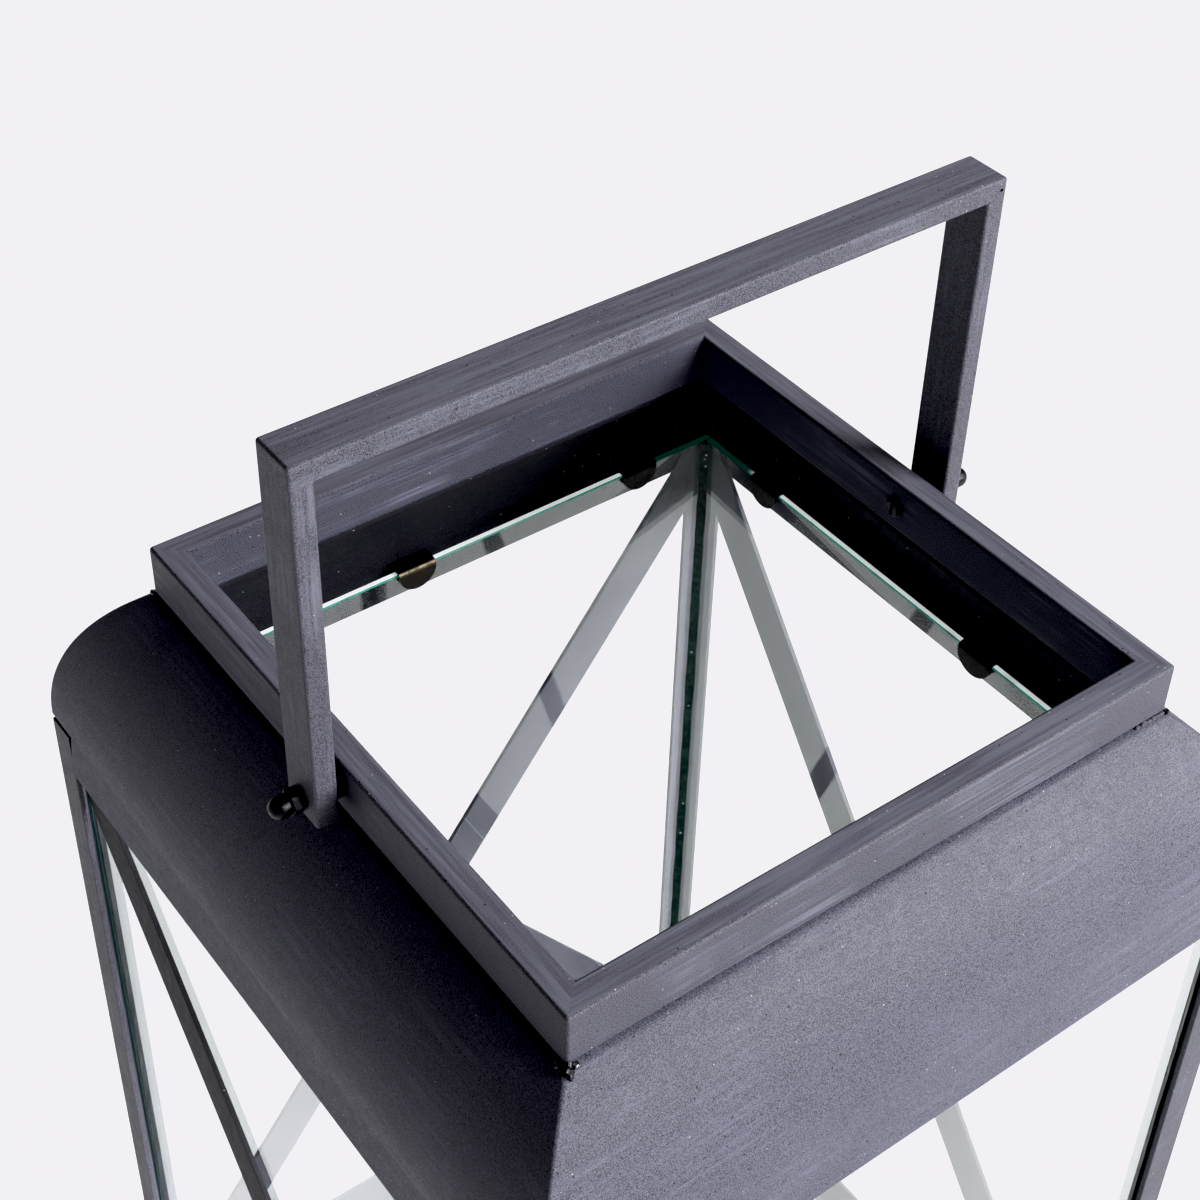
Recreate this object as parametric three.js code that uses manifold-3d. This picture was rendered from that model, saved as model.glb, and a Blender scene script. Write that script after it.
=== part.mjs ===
// Square metal and glass candle lantern with an open neck and a swinging rectangular handle.
// Millimetres, +Z up. The origin is the centre of the floor plate's underside.
// The front face looks along -Y and the handle swings about an axis along X.

import * as THREE from 'three';
import { mergeVertices } from 'three/addons/utils/BufferGeometryUtils.js';
import Module from 'manifold-3d';

const wasm = await Module();
wasm.setup();

// ---------- driving dimensions ----------

const GAP = 0.3; // clearance kept between pieces that touch

const BODY_HALF = 151.6; // centre to the outer face of the posts and the base rails
const SKIRT_HALF = 152.2; // centre to the outer face of the roof where the skirt begins
const SKIRT_FLARE = 1.8; // how far the skirt leans out on its way down to the eave
const EAVE_Z = 393; // lower edge of the roof skirt
const TANGENT_Z = 410; // where the skirt turns into the curved roof
const NECK_HALF = 120; // centre to the outer face of the neck tubes
const NECK_BOTTOM_Z = 475;
const NECK_TOP_Z = 495;
const NECK_TUBE_WIDTH = 10;
const NECK_EDGE_RADIUS = 1.2;

const SHEET = 1.5; // roof and rail sheet thickness
const FLOOR_THICKNESS = 2;
const FLOOR_HALF = 149.2;
const FLOOR_PAD_HALF = 140; // raised square that candles stand on
const FLOOR_PAD_TOP_Z = 3.5;
const RAIL_HEIGHT = 27;

const POST_FLANGE = 13;
const POST_THICKNESS = 2;
const POST_TOP_Z = TANGENT_Z - 0.8;
const POST_SIDE_GAP = 0.8;

const GLASS = 3;
const GLASS_OUTER = 147; // centre to a pane's outer face
const GLASS_BOTTOM_Z = FLOOR_THICKNESS + 0.4;
const GLASS_TOP_Z = 410;

const BRACE_WIDTH = 20;
const BRACE_OUTER = 149.3; // centre to a brace's outer face
const BRACE_THICKNESS = 2;
const BRACE_REACH = 146.5; // half the length of a brace measured along the face

const CLIP_WIDTH = 17;
const CLIP_SHEET = 1.2;
const CLIP_INNER = 142.2; // centre to the clip's inner face
const CLIP_BEND = 2.4; // outer bend radius
const CLIP_BOTTOM_Z = 401;
const CLIP_TOP_Z = 411.7;

const PIVOT_Z = 485; // height of the handle's swing axis
const HANDLE_TOP_Z = 616;
const HANDLE_INNER = 124; // centre to the inner face of a leg
const HANDLE_BAR = 8; // bar thickness seen from the front
const HANDLE_DEPTH = 17.5; // bar size from front to back
const HANDLE_FOOT_Z = 477.5; // square lower end of the legs

const BOLT_RADIUS = 2.5;
const HOLE_RADIUS = 2.6;
const SCREW_HEAD_RADIUS = 3.8;
const SCREW_HEAD_HEIGHT = 1.9;
const SPACER_RADIUS = 5.5;
const NUT_ACROSS_FLATS = 8;
const NUT_HEX_LENGTH = 4.5;
const NUT_LENGTH = 11;

// ---------- materials ----------

const PAINT = { color: 0x36353d, roughness: 0.55, metalness: 0.6 };
const STEEL = { color: 0x232227, roughness: 0.5, metalness: 0.8 };
const WORN_CLIP = { color: 0x2a251f, roughness: 0.45, metalness: 0.8 };
const CLEAR = { color: 0xcfe8e0, roughness: 0.05, metalness: 0, transparent: true, opacity: 0.3 };

// ---------- small helpers ----------

const lantern = new THREE.Group();
lantern.name = 'candle_lantern';

function addPiece(name, geometry, look, parent = lantern) {
  const mesh = new THREE.Mesh(geometry, new THREE.MeshStandardMaterial(look));
  mesh.name = name;
  parent.add(mesh);
  return mesh;
}

function toSolid(geometry) {
  const bare = geometry.clone();
  bare.deleteAttribute('normal');
  bare.deleteAttribute('uv');
  const merged = mergeVertices(bare, 1e-4);
  const mesh = new wasm.Mesh({
    numProp: 3,
    vertProperties: new Float32Array(merged.attributes.position.array),
    triVerts: new Uint32Array(merged.index.array),
  });
  return new wasm.Manifold(mesh);
}

function toGeometry(solid) {
  const mesh = solid.getMesh();
  const geometry = new THREE.BufferGeometry();
  geometry.setAttribute('position', new THREE.BufferAttribute(mesh.vertProperties, 3));
  geometry.setIndex(new THREE.BufferAttribute(mesh.triVerts, 1));
  geometry.computeVertexNormals();
  return geometry;
}

function outline(points) {
  return new THREE.Shape(points.map(([x, y]) => new THREE.Vector2(x, y)));
}

function extrude(shape, depth, segments = 8) {
  return new THREE.ExtrudeGeometry(shape, { depth, bevelEnabled: false, curveSegments: segments });
}

// A plan outline (x, y) raised from one height to another.
function raise(shape, bottom, top) {
  return extrude(shape, top - bottom).translate(0, 0, bottom);
}

// An outline drawn in (x, z) and given thickness from one outward distance to another.
// Outward is -Y, so the outline is the face seen from outside the lantern.
function faceSheet(shape, inner, outer, segments = 8) {
  return extrude(shape, outer - inner, segments).rotateX(Math.PI / 2).translate(0, -inner, 0);
}

// A section drawn in (outward distance, z) and run along the face from -half to +half.
function faceSection(shape, half, segments = 8) {
  const toFace = new THREE.Matrix4().makeBasis(
    new THREE.Vector3(0, -1, 0),
    new THREE.Vector3(0, 0, 1),
    new THREE.Vector3(-1, 0, 0),
  );
  return extrude(shape, 2 * half, segments).translate(0, 0, -half).applyMatrix4(toFace);
}

function box(x0, x1, y0, y1, z0, z1) {
  return new THREE.BoxGeometry(x1 - x0, y1 - y0, z1 - z0)
    .translate((x0 + x1) / 2, (y0 + y1) / 2, (z0 + z1) / 2);
}

// A cylinder whose axis is a line along X at the pivot height.
function pivotCylinder(radius, x0, x1, sides = 32) {
  return new THREE.CylinderGeometry(radius, radius, x1 - x0, sides)
    .rotateZ(Math.PI / 2)
    .translate((x0 + x1) / 2, 0, PIVOT_Z);
}

// Everything closer to this face than to its two neighbours, for the mitred corners.
function mitreWedge() {
  const far = SKIRT_HALF + 20;
  const edge = 0.25;
  const plan = outline([[0, -edge], [-far + edge, -far], [far - edge, -far]]);
  return toSolid(raise(plan, EAVE_Z - 10, NECK_TOP_Z + 10));
}

// ---------- pieces that repeat on the four faces ----------

// Turning the front face by these angles about Z gives the other faces.
const FACES = {
  front: { turn: 0, braced: false, clips: [-109, 0, 109] },
  right: { turn: Math.PI / 2, braced: true, lean: 1, clips: [-109, -19.7, 104.4] },
  back: { turn: Math.PI, braced: true, lean: -1, clips: [-108, 1.4, 109] },
  left: { turn: -Math.PI / 2, braced: true, lean: -1, clips: [-109, 0, 109] },
};

// Curved sheet: skirt, quarter-round shoulder and a flat lip under the neck.
function roofPanel() {
  const radius = ((NECK_BOTTOM_Z - 0.6 - TANGENT_Z) ** 2 + (SKIRT_HALF - NECK_HALF) ** 2)
    / (2 * (SKIRT_HALF - NECK_HALF));
  const centre = SKIRT_HALF - radius;
  const lipTop = NECK_BOTTOM_Z - 0.6;
  const lipEnd = NECK_HALF - NECK_TUBE_WIDTH + 0.4;
  const outerAngle = Math.asin((lipTop - TANGENT_Z) / radius);
  const innerAngle = Math.asin((lipTop - SHEET - TANGENT_Z) / (radius - SHEET));
  const section = new THREE.Shape();
  section.moveTo(SKIRT_HALF + SKIRT_FLARE - SHEET, EAVE_Z);
  section.lineTo(SKIRT_HALF + SKIRT_FLARE, EAVE_Z);
  section.lineTo(SKIRT_HALF, TANGENT_Z);
  section.absarc(centre, TANGENT_Z, radius, 0, outerAngle, false);
  section.lineTo(lipEnd, lipTop);
  section.lineTo(lipEnd, lipTop - SHEET);
  section.absarc(centre, TANGENT_Z, radius - SHEET, innerAngle, 0, true);
  section.closePath();

  let panel = toSolid(faceSection(section, SKIRT_HALF + SKIRT_FLARE)).intersect(mitreWedge());
  const skirtHalf = BODY_HALF - POST_FLANGE - POST_SIDE_GAP;
  for (const side of [-1, 1]) {
    const notch = box(skirtHalf, SKIRT_HALF + 5, -SKIRT_HALF - 5, -SKIRT_HALF + 8, EAVE_Z - 5, TANGENT_Z);
    if (side < 0) notch.rotateY(Math.PI).translate(0, 0, EAVE_Z - 5 + TANGENT_Z);
    panel = panel.subtract(toSolid(notch));
  }
  return toGeometry(panel);
}

// Square-section tube with softly rounded long edges, mitred at both ends.
function neckTube(drilled) {
  const inner = NECK_HALF - NECK_TUBE_WIDTH;
  const r = NECK_EDGE_RADIUS;
  const section = new THREE.Shape();
  section.moveTo(inner + r, NECK_BOTTOM_Z);
  section.absarc(NECK_HALF - r, NECK_BOTTOM_Z + r, r, -Math.PI / 2, 0, false);
  section.absarc(NECK_HALF - r, NECK_TOP_Z - r, r, 0, Math.PI / 2, false);
  section.absarc(inner + r, NECK_TOP_Z - r, r, Math.PI / 2, Math.PI, false);
  section.absarc(inner + r, NECK_BOTTOM_Z + r, r, Math.PI, Math.PI * 1.5, false);
  let tube = toSolid(faceSection(section, NECK_HALF, 2)).intersect(mitreWedge());
  if (drilled) {
    const drill = new THREE.CylinderGeometry(HOLE_RADIUS, HOLE_RADIUS, 40, 32)
      .translate(0, -NECK_HALF, PIVOT_Z);
    tube = tube.subtract(toSolid(drill));
  }
  return toGeometry(tube);
}

function glassPane(half) {
  return box(-half, half, -GLASS_OUTER, -GLASS_OUTER + GLASS, GLASS_BOTTOM_Z, GLASS_TOP_Z);
}

function baseRail() {
  const half = BODY_HALF - POST_FLANGE - POST_SIDE_GAP;
  return box(-half, half, -BODY_HALF, -BODY_HALF + SHEET, 0, RAIL_HEIGHT);
}

// Outlines of the crossed flat bars of one face, in (x, z). The long bar falls from -x to +x.
function braceOutlines() {
  const opening = BODY_HALF - POST_FLANGE;
  const slope = (EAVE_Z - RAIL_HEIGHT) / (2 * opening);
  const middle = (EAVE_Z + RAIL_HEIGHT) / 2;
  const rise = (BRACE_WIDTH / 2) * Math.hypot(1, slope); // half the bar's height, measured along z
  const space = GAP * Math.hypot(1, slope);
  const floor = GLASS_BOTTOM_Z;
  const corner = (middle - rise - floor) / slope; // where the lower edge comes down to the floor
  const end = slope * BRACE_REACH;
  const near = space / (2 * slope);
  const far = (2 * rise + space) / (2 * slope);
  return {
    long: outline([
      [-BRACE_REACH, middle + end + rise],
      [-BRACE_REACH, middle + end - rise],
      [corner, floor],
      [BRACE_REACH, floor],
      [BRACE_REACH, middle - end + rise],
    ]),
    upper: outline([
      [near, middle + slope * near + rise],
      [far, middle + slope * far - rise],
      [BRACE_REACH, middle + end - rise],
      [BRACE_REACH, middle + end + rise],
    ]),
    lower: outline([
      [-near, middle - slope * near - rise],
      [-far, middle - slope * far + rise],
      [-BRACE_REACH, middle - end + rise],
      [-BRACE_REACH, floor],
      [-corner, floor],
    ]),
  };
}

// Bent tab: a flat leg over the glass edge and a round-ended leg down its inner side.
function glassClip() {
  const outer = SKIRT_HALF - SHEET - 2 * GAP;
  const face = CLIP_INNER;
  const section = new THREE.Shape();
  section.moveTo(face, CLIP_BOTTOM_Z);
  section.lineTo(face + CLIP_SHEET, CLIP_BOTTOM_Z);
  section.lineTo(face + CLIP_SHEET, CLIP_TOP_Z - CLIP_BEND);
  section.absarc(
    face + CLIP_BEND, CLIP_TOP_Z - CLIP_BEND, CLIP_BEND - CLIP_SHEET, Math.PI, Math.PI / 2, true,
  );
  section.lineTo(outer, CLIP_TOP_Z - CLIP_SHEET);
  section.lineTo(outer, CLIP_TOP_Z);
  section.lineTo(face + CLIP_BEND, CLIP_TOP_Z);
  section.absarc(face + CLIP_BEND, CLIP_TOP_Z - CLIP_BEND, CLIP_BEND, Math.PI / 2, Math.PI, false);
  section.closePath();

  const half = CLIP_WIDTH / 2;
  const tab = new THREE.Shape();
  tab.moveTo(-half, CLIP_TOP_Z + 1);
  tab.absarc(0, CLIP_BOTTOM_Z + half, half, Math.PI, Math.PI * 2, false);
  tab.lineTo(half, CLIP_TOP_Z + 1);
  tab.closePath();

  const bent = toSolid(faceSection(section, half + 1, 3));
  return toGeometry(bent.intersect(toSolid(faceSheet(tab, CLIP_INNER - 2, SKIRT_HALF, 8))));
}

for (const [face, { turn, braced, lean, clips }] of Object.entries(FACES)) {
  const group = new THREE.Group();
  group.rotation.z = turn;
  lantern.add(group);

  const sideways = face === 'left' || face === 'right';
  addPiece(`base_rail_${face}`, baseRail(), PAINT, group);
  addPiece(`roof_panel_${face}`, roofPanel(), PAINT, group);
  addPiece(`neck_tube_${face}`, neckTube(sideways), PAINT, group);
  const paneHalf = sideways ? GLASS_OUTER - GLASS - GAP : GLASS_OUTER;
  addPiece(`glass_pane_${face}`, glassPane(paneHalf), CLEAR, group);

  clips.forEach((x, i) => {
    addPiece(`glass_clip_${face}_${i + 1}`, glassClip(), WORN_CLIP, group).position.x = x;
  });

  if (!braced) continue;
  for (const [part, shape] of Object.entries(braceOutlines())) {
    const bar = faceSheet(shape, BRACE_OUTER - BRACE_THICKNESS, BRACE_OUTER);
    if (lean > 0) bar.rotateZ(Math.PI).translate(0, -2 * BRACE_OUTER + BRACE_THICKNESS, 0);
    addPiece(`brace_${face}_${part}`, bar, PAINT, group);
  }
}

// ---------- corner posts and floor ----------

function cornerPost() {
  const out = -BODY_HALF;
  const thick = out + POST_THICKNESS;
  const end = out + POST_FLANGE;
  const angle = outline([[out, out], [end, out], [end, thick], [thick, thick], [thick, end], [out, end]]);
  return raise(angle, 0, POST_TOP_Z);
}

['front_left', 'front_right', 'back_right', 'back_left'].forEach((corner, i) => {
  addPiece(`corner_post_${corner}`, cornerPost(), PAINT).rotation.z = (i * Math.PI) / 2;
});

// A flat plate under the glass, stepped up to a slightly raised square in the middle.
function floorPlate() {
  const rim = box(-FLOOR_HALF, FLOOR_HALF, -FLOOR_HALF, FLOOR_HALF, 0, FLOOR_THICKNESS);
  const half = FLOOR_PAD_HALF;
  const pad = box(-half, half, -half, half, FLOOR_THICKNESS - 1, FLOOR_PAD_TOP_Z);
  return toGeometry(toSolid(rim).add(toSolid(pad)));
}

addPiece('floor_plate', floorPlate(), PAINT);

// ---------- handle ----------

// Outlines are drawn in (x, z) and centred front to back on the swing axis.
function handleBar(points) {
  return faceSheet(outline(points), -HANDLE_DEPTH / 2, HANDLE_DEPTH / 2);
}

function handleLeg() {
  const inner = HANDLE_INNER;
  const outer = HANDLE_INNER + HANDLE_BAR;
  const leg = toSolid(handleBar([
    [inner, HANDLE_FOOT_Z],
    [outer, HANDLE_FOOT_Z],
    [outer, HANDLE_TOP_Z - GAP],
    [inner, HANDLE_TOP_Z - HANDLE_BAR - GAP],
  ]));
  return toGeometry(leg.subtract(toSolid(pivotCylinder(HOLE_RADIUS, inner - 5, outer + 5))));
}

function handleTopBar() {
  const inner = HANDLE_INNER;
  const outer = HANDLE_INNER + HANDLE_BAR;
  return handleBar([
    [-inner, HANDLE_TOP_Z - HANDLE_BAR],
    [inner, HANDLE_TOP_Z - HANDLE_BAR],
    [outer, HANDLE_TOP_Z],
    [-outer, HANDLE_TOP_Z],
  ]);
}

addPiece('handle_top_bar', handleTopBar(), PAINT);

// ---------- pivots: slotted bolt from inside, spacer, leg, dome nut outside ----------

// Lathed parts are drawn as (radius, distance along the axis) and laid along +X.
function alongX(profile, start, sides = 32) {
  const points = profile.map(([r, t]) => new THREE.Vector2(r, t));
  return new THREE.LatheGeometry(points, sides)
    .rotateZ(-Math.PI / 2)
    .translate(start, 0, PIVOT_Z);
}

function bolt() {
  const seat = NECK_HALF - NECK_TUBE_WIDTH - GAP;
  const head = SCREW_HEAD_HEIGHT;
  const length = HANDLE_INNER + HANDLE_BAR + NUT_HEX_LENGTH + 2 - seat;
  const turned = alongX([
    [0, -head],
    [SCREW_HEAD_RADIUS * 0.7, -head],
    [SCREW_HEAD_RADIUS, -head * 0.45],
    [SCREW_HEAD_RADIUS, 0],
    [BOLT_RADIUS, 0],
    [BOLT_RADIUS, length],
    [0, length],
  ], seat);
  const slot = box(seat - head - 1, seat - head * 0.4, -0.5, 0.5, PIVOT_Z - 5, PIVOT_Z + 5);
  return toGeometry(toSolid(turned).subtract(toSolid(slot)));
}

function spacer() {
  const start = NECK_HALF + GAP;
  const end = HANDLE_INNER - GAP;
  const ring = toSolid(pivotCylinder(SPACER_RADIUS, start, end));
  return toGeometry(ring.subtract(toSolid(pivotCylinder(HOLE_RADIUS, start - 1, end + 1))));
}

function domeNut() {
  const start = HANDLE_INNER + HANDLE_BAR + GAP;
  const cornerRadius = NUT_ACROSS_FLATS / Math.sqrt(3);
  const domeRadius = NUT_ACROSS_FLATS * 0.47;
  const hex = toSolid(pivotCylinder(cornerRadius, start, start + NUT_HEX_LENGTH, 6));
  const straight = NUT_LENGTH - domeRadius;
  const profile = [[0, NUT_HEX_LENGTH - 1], [domeRadius, NUT_HEX_LENGTH - 1]];
  const steps = 8;
  for (let i = 0; i <= steps; i += 1) {
    const angle = (i / steps) * (Math.PI / 2);
    profile.push([domeRadius * Math.cos(angle), straight + domeRadius * Math.sin(angle)]);
  }
  profile[profile.length - 1][0] = 0;
  const dome = toSolid(alongX(profile, start));
  const bore = toSolid(pivotCylinder(HOLE_RADIUS, start - 1, start + NUT_HEX_LENGTH + 2.2));
  return toGeometry(hex.add(dome).subtract(bore));
}

for (const side of ['right', 'left']) {
  const group = new THREE.Group();
  group.rotation.z = side === 'left' ? Math.PI : 0;
  lantern.add(group);
  addPiece(`handle_leg_${side}`, handleLeg(), PAINT, group);
  addPiece(`pivot_bolt_${side}`, bolt(), STEEL, group);
  addPiece(`pivot_spacer_${side}`, spacer(), STEEL, group);
  addPiece(`pivot_dome_nut_${side}`, domeNut(), STEEL, group);
}

export default lantern;
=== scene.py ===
"""Looks of a square candle lantern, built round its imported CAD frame. Metres, +Z up.

The lantern's front looks along -Y. Pieces that repeat on the four faces are drawn for the front
face, as (x, outward distance, z), and turned about Z.
"""

import math
import random

import bmesh
import bpy
from mathutils import Matrix, Vector, noise


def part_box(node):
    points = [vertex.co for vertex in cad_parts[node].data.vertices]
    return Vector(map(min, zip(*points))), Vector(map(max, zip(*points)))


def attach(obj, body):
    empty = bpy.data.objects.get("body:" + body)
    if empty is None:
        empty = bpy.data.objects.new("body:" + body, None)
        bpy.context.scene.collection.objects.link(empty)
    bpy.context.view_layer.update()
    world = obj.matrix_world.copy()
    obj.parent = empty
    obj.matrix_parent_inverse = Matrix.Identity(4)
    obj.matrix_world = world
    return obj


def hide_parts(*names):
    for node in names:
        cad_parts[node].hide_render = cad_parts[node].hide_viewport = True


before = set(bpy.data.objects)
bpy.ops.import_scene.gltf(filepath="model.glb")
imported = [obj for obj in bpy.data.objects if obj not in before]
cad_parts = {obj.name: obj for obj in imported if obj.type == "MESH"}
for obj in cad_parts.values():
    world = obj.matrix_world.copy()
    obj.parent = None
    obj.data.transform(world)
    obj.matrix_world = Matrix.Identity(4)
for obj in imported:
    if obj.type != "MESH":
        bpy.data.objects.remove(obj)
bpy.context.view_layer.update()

# ---------- sizes ----------

MM = 0.001
SEED = 7

FACES = {"front": 0, "right": 90, "back": 180, "left": -90}
CORNERS = {"front_left": 0, "front_right": 90, "back_right": 180, "back_left": 270}

neck_low, neck_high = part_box("neck_tube_front")
NECK_OUTER = -neck_low.y
NECK_INNER = -neck_high.y
NECK_BOTTOM = neck_low.z
NECK_TOP = neck_high.z

roof_low, roof_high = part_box("roof_panel_front")
FLARE = 1.8 * MM  # how far the skirt leans out on its way down to the eave
SKIRT = -roof_low.y - FLARE
EAVE = roof_low.z
LIP_TOP = roof_high.z
LIP_END = -roof_high.y
SHEET = 1.5 * MM

post_low, post_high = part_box("corner_post_front_left")
BODY = -post_low.x
POST_FLANGE = post_high.x - post_low.x
POST_TOP = post_high.z
TANGENT = POST_TOP + 0.8 * MM  # where the skirt turns into the shoulder
POST_END = BODY - POST_FLANGE  # where a post's flange stops, from the middle of the face
SKIRT_END = POST_END - 2.0 * MM
POST_CUT = POST_TOP - 1.2 * MM  # the posts are sawn a little short of the shoulder
POST_SHIFT = {"back_left": Vector((-0.8 * MM, 0, 0))}  # this one stands proud of the skirt

pane_low, pane_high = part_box("glass_pane_front")
GLASS_INNER = -pane_high.y
GLASS_TOP = pane_high.z
GLASS_BOTTOM = pane_low.z

handle_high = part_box("handle_top_bar")[1]
leg_low, leg_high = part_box("handle_leg_right")
HANDLE_OUTER = leg_high.x
HANDLE_INNER = leg_low.x
HANDLE_TOP = handle_high.z
HANDLE_BAR = HANDLE_OUTER - HANDLE_INNER
HANDLE_FOOT = leg_low.z
HANDLE_HALF_DEPTH = handle_high.y

bolt_low, bolt_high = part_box("pivot_bolt_right")
PIVOT = Vector((0, 0, (bolt_low.z + bolt_high.z) / 2))
BOLT_HOLE = 2.6 * MM

nut_low, nut_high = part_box("pivot_dome_nut_right")
NUT_START = nut_low.x
NUT_END = nut_high.x
NUT_FLATS = nut_high.y - nut_low.y

clip_low, clip_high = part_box("glass_clip_front_2")
CLIP_HALF = (clip_high.x - clip_low.x) / 2
CLIP_INNER = -clip_high.y
CLIP_REACH = -clip_low.y
CLIP_BOTTOM = clip_low.z
CLIP_TOP = clip_high.z
CLIP_SHEET = 1.2 * MM
CLIP_BEND = 2.4 * MM


# ---------- materials ----------

class Nodes:
    """A material's node tree with short calls for the nodes used here."""

    def __init__(self, name):
        self.material = bpy.data.materials.new(name)
        self.material.use_nodes = True
        self.tree = self.material.node_tree
        self.shader = self.tree.nodes["Principled BSDF"]
        self.place = self.add("ShaderNodeTexCoord").outputs["Object"]

    def add(self, kind, inputs=None, **settings):
        node = self.tree.nodes.new(kind)
        for key, value in settings.items():
            setattr(node, key, value)
        for key, value in (inputs or {}).items():
            self.feed(node.inputs[key], value)
        return node

    def feed(self, socket, value):
        if isinstance(value, bpy.types.NodeSocket):
            self.tree.links.new(value, socket)
        else:
            socket.default_value = value

    def stretched(self, scale):
        mapping = self.add("ShaderNodeMapping", {"Vector": self.place, "Scale": scale})
        return mapping.outputs["Vector"]

    def noise(self, scale, detail=3.0, roughness=0.55, where=None):
        node = self.add(
            "ShaderNodeTexNoise",
            {"Vector": where or self.place, "Scale": scale, "Detail": detail, "Roughness": roughness},
        )
        return node.outputs["Fac"]

    def ramp(self, value, low, high, start=0.0, end=1.0):
        node = self.add(
            "ShaderNodeMapRange",
            {"Value": value, "From Min": low, "From Max": high, "To Min": start, "To Max": end},
            interpolation_type="SMOOTHSTEP",
        )
        return node.outputs["Result"]

    def math(self, operation, a, b=0.0):
        node = self.add("ShaderNodeMath", operation=operation)
        self.feed(node.inputs[0], a)
        self.feed(node.inputs[1], b)
        return node.outputs[0]

    def mix(self, factor, a, b):
        """A colour between two others."""
        node = self.add("ShaderNodeMix", data_type="RGBA")
        for index, value in ((0, factor), (6, a), (7, b)):
            self.feed(node.inputs[index], value)
        return node.outputs[2]

    def blend(self, factor, a, b):
        """A number between two others."""
        node = self.add("ShaderNodeMix", data_type="FLOAT")
        for index, value in ((0, factor), (2, a), (3, b)):
            self.feed(node.inputs[index], value)
        return node.outputs[0]

    def split(self, vector):
        """The X, Y and Z of a vector."""
        return self.add("ShaderNodeSeparateXYZ", {"Vector": vector}).outputs

    def distances(self):
        """Distances along X and along Y from the lantern's middle."""
        spot = self.split(self.place)
        return self.math("ABSOLUTE", spot["X"]), self.math("ABSOLUTE", spot["Y"])

    def specks(self, scale, size, share):
        """Small round dots in a random share of the cells of a Voronoi pattern."""
        cells = self.add("ShaderNodeTexVoronoi", {"Vector": self.place, "Scale": scale})
        dot = self.ramp(cells.outputs["Distance"], size, size * 0.5)
        chosen = self.add("ShaderNodeSeparateColor", {"Color": cells.outputs["Color"]})
        return self.math("MULTIPLY", dot, self.math("LESS_THAN", chosen.outputs[0], share))

    def bump(self, height, distance, strength=1.0, after=None):
        inputs = {"Height": height, "Distance": distance, "Strength": strength}
        if after is not None:
            inputs["Normal"] = after
        return self.add("ShaderNodeBump", inputs).outputs["Normal"]


def grey(value, blue=1.25):
    return (value, value * 0.97, value * blue, 1.0)


def paint(name, run, base=0.048, scuff=0.6, lit_tops=1.0, shine=0.15, blue=1.27):
    """Satin charcoal paint: fine grain, cloudy scuffs, brushed streaks, and upward faces painted paler
    as painted light from above, streaked like wear.

    run says which way the streaks go: x, y or z; "sides" follows each of the four faces; "bail"
    follows the handle's top bar and legs.
    """
    n = Nodes(name)

    def streaks(along):
        scale = [560.0, 560.0, 560.0]
        scale["xyz".index(along)] = 20.0
        return n.noise(1.0, detail=4.0, roughness=0.65, where=n.stretched(scale))

    if run == "sides":
        streak = n.blend(n.math("GREATER_THAN", *n.distances()), streaks("x"), streaks("y"))
    elif run == "bail":
        on_top = n.math("GREATER_THAN", n.split(n.place)["Z"], HANDLE_TOP - HANDLE_BAR)
        streak = n.blend(on_top, streaks("z"), streaks("x"))
    else:
        streak = streaks(run)

    grain = n.noise(2600, detail=2.0, roughness=0.6)
    mottling = n.noise(260, detail=3.0)
    cloud = n.noise(24, detail=4.0, roughness=0.6)
    facing = n.split(n.add("ShaderNodeTexCoord").outputs["Normal"])
    # Upward faces painted paler: painted light from above, broken up by the streaks like wear.
    top = n.ramp(facing["Z"], 0.9, 1.0)

    worn = n.math("MULTIPLY", n.ramp(streak, 0.42, 0.72), n.ramp(cloud, 0.40, 0.66))
    lit_and_worn_top = n.math("MULTIPLY", top, n.ramp(streak, 0.30, 0.72, 0.15 * lit_tops, lit_tops))
    colour = n.mix(n.ramp(grain, 0.34, 0.66), grey(base * 0.25, blue), grey(base * 1.8, blue))
    colour = n.mix(n.ramp(mottling, 0.35, 0.7, 0.0, 0.25), colour, grey(base * 1.3, blue))
    colour = n.mix(n.math("MULTIPLY", worn, scuff), colour, grey(base * 2.5, blue + 0.07))
    colour = n.mix(lit_and_worn_top, colour, grey(base * 2.5, blue + 0.03))
    colour = n.mix(n.specks(620, 0.16, 0.03), colour, grey(0.4, blue=1.0))
    pits = n.specks(520, 0.22, 0.05)
    colour = n.mix(pits, colour, grey(0.008))
    n.feed(n.shader.inputs["Base Color"], colour)

    n.feed(n.shader.inputs["Roughness"], n.ramp(mottling, 0.3, 0.7, 0.52, 0.62))
    n.shader.inputs["Specular IOR Level"].default_value = shine

    height = n.math("ADD", grain, n.math("MULTIPLY", pits, -1.2))
    normal = n.bump(height, 0.0001, 0.6)
    normal = n.bump(n.noise(45, detail=1.0), 0.0002, 0.12, after=normal)
    n.feed(n.shader.inputs["Normal"], normal)
    return n.material


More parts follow.
